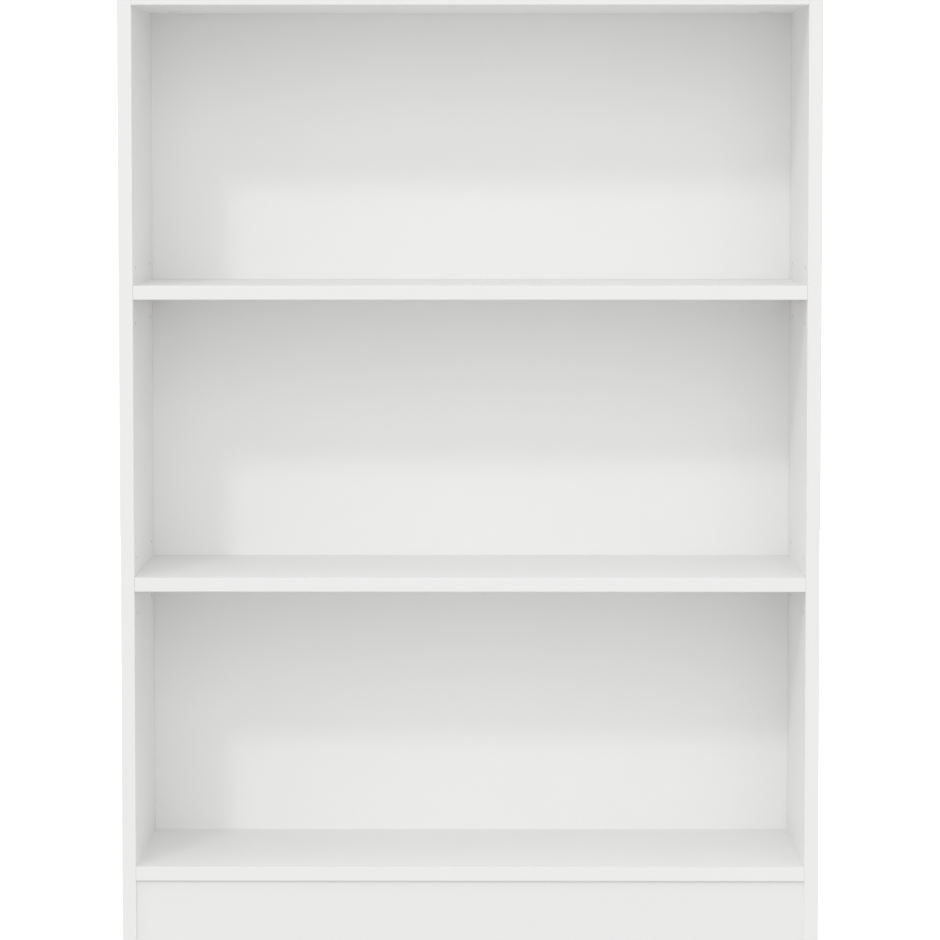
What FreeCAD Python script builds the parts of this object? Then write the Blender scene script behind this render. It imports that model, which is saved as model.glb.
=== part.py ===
import FreeCAD, Part
import os
import Sketcher

# A white flat-pack bookcase: two sides that run from floor to top, a top and a bottom panel between them,
# two loose shelves on hidden pins, a plinth set back under the bottom panel and a hardboard back in grooves.
# Millimetres, +Z up, the front faces -Y, and the origin is on the floor under the middle of the case.

SIZES = {
    # Carcass boards
    "case_width": 800,              # over the outer faces of the two sides
    "case_depth": 290,              # front of the edge bands to the rear edges of the sides
    "board_thickness": 16,
    "bay_height": 318,              # clear height of each of the three bays
    "plinth_height": 72,            # foot of the sides to the underside of the bottom panel
    "plinth_setback": 4,            # plinth face behind the front edges of the sides
    "band_thickness": 1,
    "band_round_share": 0.8,        # rounding along a band, of its thickness
    # Hardboard back
    "back_thickness": 3,
    "back_inset": 10,               # rear edges of the sides to the rear face of the back
    "groove_depth": 6,
    "groove_play": 0.2,
    # Loose shelves
    "shelf_end_gap": 0.1,
    "shelf_back_gap": 0.4,
    "shelf_setback": 0.3,
    # Shelf pins, the rows of holes that take their pegs and the rebates under the shelves that hide them
    "pin_head_diameter": 7,
    "pin_head_length": 8,           # how far a pin stands out of the side
    "pin_head_chamfer": 0.6,
    "pin_flat_height": 2.5,         # axis of a pin to the flat that carries the shelf
    "pin_cover": 0.5,               # underside of the shelf to the underside of a pin
    "pin_end_gap": 1,               # end of a pin to the wall of the rebate
    "pin_stop_gap": 0.3,            # front pin to the closed end of the rebate
    "peg_diameter": 5,
    "peg_cover": 7,                 # board left beyond the end of a peg
    "peg_row_inset": 37,            # from the front edge, and from the back
    "peg_row_pitch": 32,
    # Fits
    "fit_play": 0.05,               # radial gap round a peg, dowel, thread or nail in its hole
    "end_gap": 1,                   # a blind hole is this much deeper than what sits in it
    "overrun": 1,                   # a cut runs this far past a face
    # Cam locks and the bolts that they draw in
    "cam_diameter": 15,
    "cam_skin": 3.5,                # board left beyond the bore of a cam
    "cam_reach": 34,                # end of the panel to the axis of the cam
    "cam_row_inset": 60,            # from the front edge, and from the back
    "cam_play": 0.1,
    "cam_face": 2.6,
    "cam_slot_width": 1.4,
    "cam_slot_length": 9,
    "cam_slot_depth": 1.5,
    "bolt_bore": 8,
    "bolt_shank_play": 1,
    "bolt_head_play": 0.5,
    "bolt_neck": 4.4,
    "bolt_head_length": 3,
    "bolt_head_offset": 0.4,        # tip of the bolt short of the cam's axis
    "thread_diameter": 5,
    "thread_cover": 5,              # board left beyond the end of a thread
    "cap_diameter": 18,
    "cap_thickness": 1.2,
    "cap_stub": 4,
    # Fluted wooden dowels
    "dowel_diameter": 8,
    "dowel_length": 30,
    "dowel_cover": 6,               # board left beyond the end of a dowel
    "dowel_chamfer": 1,
    "dowel_row_share": 0.25,        # of the way from one cam to the other
    "flute_diameter": 1,
    # Joints of the plinth
    "plinth_bolt_share": 0.3,       # of the plinth's height
    "plinth_dowel_share": 0.72,
    "plinth_dowel_inset": 150,      # from the sides to the dowels in the plinth's upper edge
    # Nails along the foot of the back
    "nail_diameter": 1.6,
    "nail_length": 20,
    "nail_head": 4,
    "nail_head_height": 0.8,
    "nail_point": 2.5,
    "nail_end_inset": 32,
    # Floor glides
    "glide_height": 4,
    "glide_diameter": 14,
    "glide_chamfer": 1,
    "glide_inset": 30,              # from the front and rear edges of a side
    "glide_sink": 0.8,              # nail head above the floor
    "glide_nail": 2,
    "glide_nail_head": 5,
    "glide_nail_head_height": 1,
    "glide_nail_length": 14,
    # Wall brackets on the top and their screws
    "bracket_width": 20,
    "bracket_thickness": 2,
    "bracket_rise": 25,
    "bracket_hole": 5.5,
    "bracket_hole_edge": 10,        # axis of a hole to the end of its leg
    "bracket_corner": 3,
    "bracket_bend": 1.5,            # inner radius where the angle is bent
    "bracket_inset": 110,           # from the inner face of a side to the middle of a bracket
    "screw_diameter": 3.5,
    "screw_head": 7.5,
    "screw_head_height": 2.4,
    "screw_head_round": 1.4,
    "screw_cover": 4,               # board left beyond the point of a screw
    "screw_margin": 9,              # axis of a screw in front of the back
    "screw_point": 4,
    "screw_slot_width": 1,
    "screw_slot_length": 4.4,
    "screw_slot_depth": 1.3,
}
NAIL_COUNT = 9
FLUTE_COUNT = 8
FULL_TURN = 360
TOUCH = 1e-6                        # two places nearer than this are one place

doc = FreeCAD.newDocument("Bookcase")
sheet = doc.addObject("Spreadsheet::Sheet", "Sizes")
for row, (alias, number) in enumerate(SIZES.items(), 1):
    sheet.set(f"A{row}", alias.replace("_", " "))
    sheet.set(f"B{row}", str(number))
    sheet.setAlias(f"B{row}", alias)
doc.recompute()

# Places that several pieces share, as expressions on the sheet
HALF_WIDTH = "(Sizes.case_width / 2)"
INNER_HALF = f"({HALF_WIDTH} - Sizes.board_thickness)"
FRONT = "(-Sizes.case_depth / 2)"
REAR = "(Sizes.case_depth / 2)"
CORE_FRONT = f"({FRONT} + Sizes.band_thickness)"
BACK_REAR = f"({REAR} - Sizes.back_inset)"
BACK_FRONT = f"({BACK_REAR} - Sizes.back_thickness)"
GROOVE_FRONT = f"({BACK_FRONT} - Sizes.groove_play)"
GROOVE_REAR = f"({BACK_REAR} + Sizes.groove_play)"
LEVEL = "(Sizes.bay_height + Sizes.board_thickness)"
FOOT = "(Sizes.glide_height)"
BOTTOM_LOW = f"({FOOT} + Sizes.plinth_height)"
LOWER_SHELF_LOW = f"({BOTTOM_LOW} + {LEVEL})"
UPPER_SHELF_LOW = f"({LOWER_SHELF_LOW} + {LEVEL})"
TOP_LOW = f"({UPPER_SHELF_LOW} + {LEVEL})"
TOP = f"({TOP_LOW} + Sizes.board_thickness)"
MID_BOARD = "(Sizes.board_thickness / 2)"

PEG_ROWS = {
    "front": f"({FRONT} + Sizes.peg_row_inset)",
    "rear": f"({BACK_FRONT} - Sizes.peg_row_inset)",
}
PEG_LENGTH = "(Sizes.board_thickness - Sizes.peg_cover)"
PEG_RISE = "(Sizes.pin_cover + Sizes.pin_head_diameter / 2)"
CAM_FRONT = f"({FRONT} + Sizes.cam_row_inset)"
CAM_REAR = f"({BACK_FRONT} - Sizes.cam_row_inset)"
CAM_ROWS = (CAM_FRONT, CAM_REAR)
CAM_ACROSS = f"({INNER_HALF} - Sizes.cam_reach)"
CAM_BORE = "(Sizes.board_thickness - Sizes.cam_skin)"
DOWEL_STEP = f"(({CAM_REAR} - {CAM_FRONT}) * Sizes.dowel_row_share)"
DOWEL_ROWS = (f"({CAM_FRONT} + {DOWEL_STEP})", f"({CAM_REAR} - {DOWEL_STEP})")
DOWEL_DEPTH = "(Sizes.board_thickness - Sizes.dowel_cover)"
DOWEL_TAIL = f"(Sizes.dowel_length - {DOWEL_DEPTH})"
DOWEL_HOLE = f"({DOWEL_DEPTH} + Sizes.end_gap)"
DOWEL_TAIL_HOLE = f"({DOWEL_TAIL} + Sizes.end_gap)"
THREAD_LENGTH = "(Sizes.board_thickness - Sizes.thread_cover)"
PLINTH_FRONT = f"({FRONT} + Sizes.plinth_setback)"
PLINTH_REAR = f"({PLINTH_FRONT} + Sizes.board_thickness)"
PLINTH_MID = f"({PLINTH_FRONT} + {MID_BOARD})"
PLINTH_BOLT = f"({FOOT} + Sizes.plinth_height * Sizes.plinth_bolt_share)"
PLINTH_DOWEL = f"({FOOT} + Sizes.plinth_height * Sizes.plinth_dowel_share)"
PLINTH_DOWEL_ACROSS = f"({INNER_HALF} - Sizes.plinth_dowel_inset)"
GLIDE_ACROSS = f"({HALF_WIDTH} - {MID_BOARD})"
GLIDE_ROWS = {"front": f"({FRONT} + Sizes.glide_inset)", "rear": f"({REAR} - Sizes.glide_inset)"}
GLIDE_GRIP = "(Sizes.glide_height - Sizes.glide_sink - Sizes.glide_nail_head_height)"
BRACKET_ACROSS = f"({INNER_HALF} - Sizes.bracket_inset)"
SCREW_INSET = "(Sizes.back_inset + Sizes.back_thickness + Sizes.screw_margin)"
SCREW_DEPTH = "(Sizes.board_thickness - Sizes.screw_cover)"
NAIL_REACH = f"({INNER_HALF} - Sizes.nail_end_inset)"
NAIL_STEP = f"(2 * {NAIL_REACH} / {NAIL_COUNT - 1})"
NAIL_PLACES = [f"({number} * {NAIL_STEP} - {NAIL_REACH})" for number in range(NAIL_COUNT)]
NAIL_HEIGHT = f"({BOTTOM_LOW} + {MID_BOARD})"

SIDES = {"left": "-", "right": ""}  # the sign of a side's places across the case

# Ways that a piece drawn along +X, or standing on +Z, is turned into its place
AS_DRAWN = FreeCAD.Rotation()
HALF_TURN = FreeCAD.Rotation(FreeCAD.Vector(0, 0, 1), FULL_TURN / 2)
X_TO_FRONT = FreeCAD.Rotation(FreeCAD.Vector(0, 0, 1), -FULL_TURN / 4)
X_TO_UP = FreeCAD.Rotation(FreeCAD.Vector(0, 1, 0), -FULL_TURN / 4)
X_TO_DOWN = FreeCAD.Rotation(FreeCAD.Vector(0, 1, 0), FULL_TURN / 4)
Z_TO_FRONT = FreeCAD.Rotation(FreeCAD.Vector(1, 0, 0), FULL_TURN / 4)

subparts = []


def value(expression):
    """The number that an expression on the sheet gives now."""
    return float(sheet.evalExpression(expression))


def start_body(label):
    return doc.addObject("PartDesign::Body", label)


def origin_part(body, role):
    """One of a body's own origin planes or axes."""
    return next(part for part in body.Origin.OriginFeatures if part.Role == role)


def sketch_at(body, role, offset, name):
    """A sketch parallel to one of the body's origin planes, moved along the plane's normal."""
    sketch = body.newObject("Sketcher::SketchObject", f"{body.Label}_{name}")
    sketch.AttachmentSupport = [(origin_part(body, role), "")]
    sketch.MapMode = "FlatFace"
    sketch.setExpression("AttachmentOffset.Base.z", offset)
    return sketch


def front_sketch(body, along, name):
    """A sketch seen from the front at a place along Y; its normal points to the front."""
    return sketch_at(body, "XZ_Plane", f"-({along})", name)


def side_sketch(body, across, name):
    """A sketch seen from the right at a place along X; its normal points to the right."""
    return sketch_at(body, "YZ_Plane", across, name)


def level_sketch(body, up, name):
    """A sketch seen from above at a height; its normal points up."""
    return sketch_at(body, "XY_Plane", up, name)


def hold(sketch, kind, geometry, point, expression):
    """Hold one coordinate of a sketch point to the sheet."""
    number = sketch.addConstraint(Sketcher.Constraint(kind, -1, 1, geometry, point, value(expression)))
    sketch.setExpression(f"Constraints[{number}]", expression)


def polygon(sketch, points):
    """A closed outline of straight lines, with each corner held to the sheet."""
    corners = [FreeCAD.Vector(value(across), value(up)) for across, up in points]
    first = sketch.GeometryCount
    count = len(points)
    for number in range(count):
        sketch.addGeometry(Part.LineSegment(corners[number], corners[(number + 1) % count]))
    for number, (across, up) in enumerate(points):
        following = first + (number + 1) % count
        sketch.addConstraint(Sketcher.Constraint("Coincident", first + number, 2, following, 1))
        hold(sketch, "DistanceX", first + number, 1, across)
        hold(sketch, "DistanceY", first + number, 1, up)


def rectangle(sketch, left, low, right, high):
    polygon(sketch, [(left, low), (right, low), (right, high), (left, high)])


def circle(sketch, across, up, diameter):
    centre = FreeCAD.Vector(value(across), value(up))
    radius = value(diameter) / 2
    number = sketch.addGeometry(Part.Circle(centre, FreeCAD.Vector(0, 0, 1), radius))
    hold(sketch, "DistanceX", number, 3, across)
    hold(sketch, "DistanceY", number, 3, up)
    size = sketch.addConstraint(Sketcher.Constraint("Diameter", number, 2 * radius))
    sketch.setExpression(f"Constraints[{size}]", diameter)


def circles(sketch, places, diameter):
    for across, up in places:
        circle(sketch, across, up, diameter)


def circle_pair(sketch, across, up, diameter):
    """Two circles, as far to the left as to the right of the middle."""
    for sign in SIDES.values():
        circle(sketch, f"{sign}{across}", up, diameter)


def feature(body, kind, sketch, name):
    made = body.newObject(f"PartDesign::{kind}", f"{sketch.Label}_{name}")
    made.Profile = sketch
    return made


def pad(body, sketch, length, backwards=False, symmetric=False):
    """Grow a sketch along its normal, against it, or equally to both sides."""
    made = feature(body, "Pad", sketch, "pad")
    made.setExpression("Length", length)
    made.Reversed = backwards
    made.Midplane = symmetric
    return made


def cut(body, sketch, depth, forwards=False):
    """Sink a sketch into the body against its normal, or forwards along it."""
    made = feature(body, "Pocket", sketch, "cut")
    made.setExpression("Length", depth)
    made.Reversed = forwards
    return made


def turn(body, sketch, axis):
    """Turn a half outline into a round solid about an axis of its sketch."""
    made = feature(body, "Revolution", sketch, "turned")
    made.ReferenceAxis = (sketch, [axis])
    made.Angle = FULL_TURN
    return made


def mirror_cuts(body, cuts):
    """Repeat cuts at the other end of a board."""
    made = body.newObject("PartDesign::Mirrored", f"{body.Label}_other_end")
    made.Originals = cuts
    made.MirrorPlane = (origin_part(body, "YZ_Plane"), [""])
    body.Tip = made


def round_edges(body, base, radius, chosen):
    """Round the edges of a feature that a test picks out."""
    doc.recompute()
    edges = [f"Edge{number}" for number, edge in enumerate(base.Shape.Edges, 1) if chosen(edge)]
    made = body.newObject("PartDesign::Fillet", f"{base.Label}_rounded")
    made.Base = (base, edges)
    made.setExpression("Radius", radius)
    return made


def keep(piece):
    """Hand a finished piece in under its label."""
    subparts.append(piece)
    return piece


def place(piece, across, along, up, rotation):
    piece.Placement = FreeCAD.Placement(FreeCAD.Vector(), rotation)
    for axis, expression in zip("xyz", (across, along, up)):
        piece.setExpression(f"Placement.Base.{axis}", expression)


def group(label, master, places):
    """Copies of one fastener, each a solid of its own, in one node."""
    copies = []
    for number, (across, along, up, rotation) in enumerate(places, 1):
        copy = doc.addObject("App::Link", f"{label}_{number}")
        copy.LinkedObject = master
        place(copy, across, along, up, rotation)
        copies.append(copy)
    together = doc.addObject("Part::Compound", label)
    together.Links = copies
    return keep(together)


def mirrored(label, source):
    """The right-hand twin of a left-hand piece."""
    twin = doc.addObject("Part::Mirroring", label)
    twin.Source = source
    twin.Normal = FreeCAD.Vector(1, 0, 0)
    return keep(twin)


def side_panel():
    """The left side, drilled and grooved on its inner face; the right one is its mirror image."""
    body = start_body("side_panel_left")
    outline = side_sketch(body, f"-{HALF_WIDTH}", "outline")
    rectangle(outline, CORE_FRONT, FOOT, REAR, f"{TOP} - Sizes.band_thickness")
    pad(body, outline, "Sizes.board_thickness")
    inner_face = f"-{INNER_HALF}"
    groove = side_sketch(body, inner_face, "back_groove")
    rectangle(groove, GROOVE_FRONT, f"{FOOT} - Sizes.overrun", GROOVE_REAR, f"{TOP} + Sizes.overrun")
    cut(body, groove, "Sizes.groove_depth")
    pegs = side_sketch(body, inner_face, "peg_holes")
    for level in (LOWER_SHELF_LOW, UPPER_SHELF_LOW):
        for step in (-1, 0, 1):
            height = f"({level} + {PEG_RISE} + {step} * Sizes.peg_row_pitch)"
            circles(pegs, [(along, height) for along in PEG_ROWS.values()], "Sizes.peg_diameter")
    cut(body, pegs, f"{PEG_LENGTH} + Sizes.end_gap")
    panel_middles = [f"({low} + {MID_BOARD})" for low in (BOTTOM_LOW, TOP_LOW)]
    threads = side_sketch(body, inner_face, "bolt_holes")
    circles(threads, [(along, up) for along in CAM_ROWS for up in panel_middles], "Sizes.thread_diameter")
    circle(threads, PLINTH_MID, PLINTH_BOLT, "Sizes.thread_diameter")
    cut(body, threads, f"{THREAD_LENGTH} + Sizes.end_gap")
    dowels = side_sketch(body, inner_face, "dowel_holes")
    circles(dowels, [(along, up) for along in DOWEL_ROWS for up in panel_middles], "Sizes.dowel_diameter")
    circle(dowels, PLINTH_MID, PLINTH_DOWEL, "Sizes.dowel_diameter")
    cut(body, dowels, DOWEL_HOLE)
    glides = level_sketch(body, FOOT, "glide_nail_holes")
    circles(glides, [(f"-{GLIDE_ACROSS}", along) for along in GLIDE_ROWS.values()], "Sizes.glide_nail")
    cut(body, glides, f"Sizes.glide_nail_length - {GLIDE_GRIP} + Sizes.end_gap", forwards=True)
    mirrored("side_panel_right", keep(body))


def drill_panel_ends(body, low):
    """Cam bores in the underside of a panel, and bolt and dowel holes in both of its ends."""
    cams = level_sketch(body, low, "cam_bores")
    for along in CAM_ROWS:
        circle_pair(cams, CAM_ACROSS, along, "Sizes.cam_diameter")
    cut(body, cams, CAM_BORE, forwards=True)
    middle = f"({low} + {MID_BOARD})"
    bolts = side_sketch(body, f"-{INNER_HALF}", "bolt_bores")
    circles(bolts, [(along, middle) for along in CAM_ROWS], "Sizes.bolt_bore")
    dowels = side_sketch(body, f"-{INNER_HALF}", "dowel_holes")
    circles(dowels, [(along, middle) for along in DOWEL_ROWS], "Sizes.dowel_diameter")
    mirror_cuts(body, [
        cut(body, bolts, "Sizes.cam_reach", forwards=True),
        cut(body, dowels, DOWEL_TAIL_HOLE, forwards=True),
    ])


def top_panel():
    body = start_body("top_panel")
    outline = level_sketch(body, TOP_LOW, "outline")
    rectangle(outline, f"-{INNER_HALF}", CORE_FRONT, INNER_HALF, REAR)
    pad(body, outline, "Sizes.board_thickness")
    groove = level_sketch(body, TOP_LOW, "back_groove")
    end = f"({INNER_HALF} + Sizes.overrun)"
    rectangle(groove, f"-{end}", GROOVE_FRONT, end, GROOVE_REAR)
    cut(body, groove, "Sizes.groove_depth", forwards=True)
    screws = level_sketch(body, TOP, "screw_holes")
    circle_pair(screws, BRACKET_ACROSS, f"{REAR} - {SCREW_INSET}", "Sizes.screw_diameter")
    cut(body, screws, f"{SCREW_DEPTH} + Sizes.end_gap")
    drill_panel_ends(body, TOP_LOW)
    keep(body)


def bottom_panel():
    """The fixed lowest shelf; the back passes behind it and is nailed to its rear edge."""
    body = start_body("bottom_panel")
    outline = level_sketch(body, BOTTOM_LOW, "outline")
    rectangle(outline, f"-{INNER_HALF}", CORE_FRONT, INNER_HALF, BACK_FRONT)
    pad(body, outline, "Sizes.board_thickness")
    nails = front_sketch(body, BACK_FRONT, "nail_holes")
    circles(nails, [(across, NAIL_HEIGHT) for across in NAIL_PLACES], "Sizes.nail_diameter")
    cut(body, nails, "Sizes.nail_length - Sizes.back_thickness + Sizes.end_gap", forwards=True)
    dowels = level_sketch(body, BOTTOM_LOW, "plinth_dowel_holes")
    circle_pair(dowels, PLINTH_DOWEL_ACROSS, PLINTH_MID, "Sizes.dowel_diameter")
    cut(body, dowels, DOWEL_HOLE, forwards=True)
    drill_panel_ends(body, BOTTOM_LOW)
    keep(body)


def loose_shelf(label, low):
    """A board with a rebate under each end, open to the rear, that slides over the pins and hides them."""
    body = start_body(label)
    outline = level_sketch(body, low, "outline")
    end = f"({INNER_HALF} - Sizes.shelf_end_gap)"
    front = f"{CORE_FRONT} + Sizes.shelf_setback"
    rear = f"({BACK_FRONT} - Sizes.shelf_back_gap)"
    rectangle(outline, f"-{end}", front, end, rear)
    pad(body, outline, "Sizes.board_thickness")
    rebate = level_sketch(body, low, "pin_rebate")
    wall = f"({INNER_HALF} - Sizes.pin_head_length - Sizes.pin_end_gap)"
    stop = f"{PEG_ROWS['front']} - Sizes.pin_head_diameter / 2 - Sizes.pin_stop_gap"
    rectangle(rebate, f"-({end} + Sizes.overrun)", stop, f"-{wall}", f"{rear} + Sizes.overrun")
    mirror_cuts(body, [cut(body, rebate, f"{PEG_RISE} + Sizes.pin_flat_height", forwards=True)])
    keep(body)


def plinth_board():
    body = start_body("plinth_board")
    outline = level_sketch(body, FOOT, "outline")
    rectangle(outline, f"-{INNER_HALF}", PLINTH_FRONT, INNER_HALF, PLINTH_REAR)
    pad(body, outline, "Sizes.plinth_height")
    cams = front_sketch(body, PLINTH_REAR, "cam_bores")
    circle_pair(cams, CAM_ACROSS, PLINTH_BOLT, "Sizes.cam_diameter")
    cut(body, cams, CAM_BORE, forwards=True)
    upper = level_sketch(body, BOTTOM_LOW, "upper_dowel_holes")
    circle_pair(upper, PLINTH_DOWEL_ACROSS, PLINTH_MID, "Sizes.dowel_diameter")
    cut(body, upper, DOWEL_TAIL_HOLE)
    bolts = side_sketch(body, f"-{INNER_HALF}", "bolt_bores")
    circle(bolts, PLINTH_MID, PLINTH_BOLT, "Sizes.bolt_bore")
    dowels = side_sketch(body, f"-{INNER_HALF}", "dowel_holes")
    circle(dowels, PLINTH_MID, PLINTH_DOWEL, "Sizes.dowel_diameter")
    mirror_cuts(body, [
        cut(body, bolts, "Sizes.cam_reach", forwards=True),
        cut(body, dowels, DOWEL_TAIL_HOLE, forwards=True),
    ])
    keep(body)


def back_panel():
    """Hardboard that stands in the grooves of the sides and the top."""
    body = start_body("back_panel")
    outline = front_sketch(body, BACK_REAR, "outline")
    tongue = "(Sizes.groove_depth - Sizes.groove_play)"
    edge = f"({INNER_HALF} + {tongue})"
    rectangle(outline, f"-{edge}", BOTTOM_LOW, edge, f"{TOP_LOW} + {tongue}")
    pad(body, outline, "Sizes.back_thickness")
    nails = front_sketch(body, BACK_REAR, "nail_holes")
    circles(nails, [(across, NAIL_HEIGHT) for across in NAIL_PLACES], "Sizes.nail_diameter")
    cut(body, nails, "Sizes.back_thickness + Sizes.overrun", forwards=True)
    keep(body)


def round_band(body, strip, axis, outer):
    """Round the two long edges of a band's outer face."""
    def on_outer_face(edge):
        level = all(abs(getattr(corner, axis) - value(outer)) < TOUCH for corner in edge.Vertexes)
        return level and edge.Length > value("Sizes.board_thickness") + TOUCH
    round_edges(body, strip, "Sizes.band_thickness * Sizes.band_round_share", on_outer_face)
    return keep(body)


def board_band(label, low, half_length, front):
    """The strip on the front edge of a level board."""
    body = start_body(label)
    profile = side_sketch(body, f"-({half_length})", "profile")
    rectangle(profile, front, low, f"{front} + Sizes.band_thickness", f"{low} + Sizes.board_thickness")
    round_band(body, pad(body, profile, f"2 * ({half_length})"), "Y", front)


def side_bands():
    """The strips on the front and upper edges of the sides."""
    front_band = start_body("side_left_front_band")
    profile = level_sketch(front_band, FOOT, "profile")
    rectangle(profile, f"-{HALF_WIDTH}", FRONT, f"-{INNER_HALF}", CORE_FRONT)
    strip = pad(front_band, profile, f"{TOP} - {FOOT}")
    mirrored("side_right_front_band", round_band(front_band, strip, "Y", FRONT))
    top_band = start_body("side_left_top_band")
    profile = front_sketch(top_band, REAR, "profile")
    rectangle(profile, f"-{HALF_WIDTH}", f"{TOP} - Sizes.band_thickness", f"-{INNER_HALF}", TOP)
    strip = pad(top_band, profile, f"{REAR} - {CORE_FRONT}")
    mirrored("side_right_top_band", round_band(top_band, strip, "Z", TOP))


def shelf_pin(label, across, along, up, rotation):
    """A turned pin along +X from the inner face of a side: a peg behind it and a head with a flat on top."""
    body = start_body(label)
    half = level_sketch(body, "0", "half")
    peg = "(Sizes.peg_diameter / 2 - Sizes.fit_play)"
    head = "(Sizes.pin_head_diameter / 2)"
    polygon(half, [
        (f"-{PEG_LENGTH}", "0"),
        (f"-{PEG_LENGTH}", f"{peg} - Sizes.pin_head_chamfer"),
        (f"Sizes.pin_head_chamfer - {PEG_LENGTH}", peg),
        ("0", peg),
        ("0", head),
        ("Sizes.pin_head_length - Sizes.pin_head_chamfer", head),
        ("Sizes.pin_head_length", f"{head} - Sizes.pin_head_chamfer"),
        ("Sizes.pin_head_length", "0"),
    ])
    turn(body, half, "H_Axis")
    flat = level_sketch(body, "Sizes.pin_flat_height", "flat")
    rectangle(flat, "0", f"-{head}", "Sizes.pin_head_length + Sizes.overrun", head)
    cut(body, flat, head, forwards=True)
    place(body, across, along, up, rotation)
    keep(body)


def shelf_pins():
    for shelf, low in (("upper", UPPER_SHELF_LOW), ("lower", LOWER_SHELF_LOW)):
        height = f"{low} + {PEG_RISE}"
        for row, along in PEG_ROWS.items():
            shelf_pin(f"{shelf}_shelf_pin_{row}_left", f"-{INNER_HALF}", along, height, AS_DRAWN)
            shelf_pin(f"{shelf}_shelf_pin_{row}_right", INNER_HALF, along, height, HALF_TURN)


def cam_bolt():
    """A bolt along +X from the inner face of a side: thread behind it, shank, neck and head in front."""
    body = start_body("cam_bolt_master")
    half = level_sketch(body, "0", "half")
    thread = "(Sizes.thread_diameter / 2 - Sizes.fit_play)"
    shank = "(Sizes.bolt_bore / 2 - Sizes.bolt_shank_play)"
    neck = "(Sizes.bolt_neck / 2)"
    head = "(Sizes.bolt_bore / 2 - Sizes.bolt_head_play)"
    neck_start = "(Sizes.cam_reach - Sizes.cam_diameter / 2)"
    tip = "(Sizes.cam_reach - Sizes.bolt_head_offset)"
    head_start = f"({tip} - Sizes.bolt_head_length)"
    polygon(half, [
        (f"-{THREAD_LENGTH}", "0"),
        (f"-{THREAD_LENGTH}", thread),
        ("0", thread),
        ("0", shank),
        (neck_start, shank),
        (neck_start, neck),
        (head_start, neck),
        (head_start, head),
        (tip, head),
        (tip, "0"),
    ])
    turn(body, half, "H_Axis")
    return body


def cam_lock():
    """A cup that stands on +Z with its slotted face down; a bolt comes in from -X through its wall."""
    body = start_body("cam_lock_master")
    height = f"({CAM_BORE} - Sizes.cam_play)"
    radius = "(Sizes.cam_diameter / 2 - Sizes.cam_play)"
    disc = level_sketch(body, "0", "disc")
    circle(disc, "0", "0", f"2 * {radius}")
    pad(body, disc, height)
    head = "(Sizes.bolt_bore / 2 - Sizes.bolt_head_play)"
    head_reach = "(Sizes.bolt_head_offset + Sizes.bolt_head_length)"
    cavity_radius = f"(sqrt({head_reach} ^ 2 + {head} ^ 2) + Sizes.cam_play)"
    cavity = level_sketch(body, height, "cavity")
    circle(cavity, "0", "0", f"2 * {cavity_radius}")
    cut(body, cavity, f"{height} - Sizes.cam_face")
    window = side_sketch(body, "0", "window")
    gap = "(Sizes.bolt_neck / 2 + Sizes.cam_play)"
    inside = f"({cavity_radius} - Sizes.overrun)"
    outside = f"({radius} + Sizes.overrun)"
    rectangle(window, inside, f"{MID_BOARD} - {gap}", outside, f"{MID_BOARD} + {gap}")
    opened = feature(body, "Groove", window, "groove")
    opened.ReferenceAxis = (window, ["V_Axis"])
    opened.setExpression("Angle", f"{FULL_TURN} deg / 2 + 2 * asin({gap} / {cavity_radius})")
    opened.Midplane = True
    entry = level_sketch(body, height, "entry")
    rectangle(entry, "0", f"-({head} + Sizes.cam_play)", outside, f"{head} + Sizes.cam_play")
    cut(body, entry, f"{height} - {MID_BOARD} + {head} + Sizes.cam_play")
    for name, half_across, half_up in (
        ("slot_across", "Sizes.cam_slot_length / 2", "Sizes.cam_slot_width / 2"),
        ("slot_along", "Sizes.cam_slot_width / 2", "Sizes.cam_slot_length / 2"),
    ):
        slot = level_sketch(body, "0", name)
        rectangle(slot, f"-({half_across})", f"-({half_up})", half_across, half_up)
        cut(body, slot, "Sizes.cam_slot_depth", forwards=True)
    socket = level_sketch(body, "0", "socket")
    circle(socket, "0", "0", "Sizes.cap_stub + 2 * Sizes.cam_play")
    cut(body, socket, "Sizes.cam_slot_depth", forwards=True)
    return body


def cam_cap():
    """A thin cover that presses into a cam's slotted face from below."""
    body = start_body("cam_cap_master")
    half = front_sketch(body, "0", "half")
    stub_top = "(Sizes.cam_slot_depth - Sizes.cam_play)"
    rim = "(Sizes.cap_thickness / 2)"
    polygon(half, [
        ("0", "-Sizes.cap_thickness"),
        (f"Sizes.cap_diameter / 2 - {rim}", "-Sizes.cap_thickness"),
        ("Sizes.cap_diameter / 2", f"-{rim}"),
        ("Sizes.cap_diameter / 2", "0"),
        ("Sizes.cap_stub / 2", "0"),
        ("Sizes.cap_stub / 2", stub_top),
        ("0", stub_top),
    ])
    turn(body, half, "V_Axis")
    return body


def dowel():
    """A fluted dowel along +X with chamfered ends."""
    body = start_body("dowel_master")
    half = level_sketch(body, "0", "half")
    radius = "(Sizes.dowel_diameter / 2 - Sizes.fit_play)"
    polygon(half, [
        ("0", "0"),
        ("0", f"{radius} - Sizes.dowel_chamfer"),
        ("Sizes.dowel_chamfer", radius),
        ("Sizes.dowel_length - Sizes.dowel_chamfer", radius),
        ("Sizes.dowel_length", f"{radius} - Sizes.dowel_chamfer"),
        ("Sizes.dowel_length", "0"),
    ])
    turn(body, half, "H_Axis")
    flute = side_sketch(body, "0", "flute")
    circle(flute, "0", radius, "Sizes.flute_diameter")
    flutes = body.newObject("PartDesign::PolarPattern", "dowel_flutes")
    flutes.Originals = [cut(body, flute, "Sizes.dowel_length", forwards=True)]
    flutes.Axis = (origin_part(body, "X_Axis"), [""])
    flutes.Angle = FULL_TURN
    flutes.Occurrences = FLUTE_COUNT
    body.Tip = flutes
    return body


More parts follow.
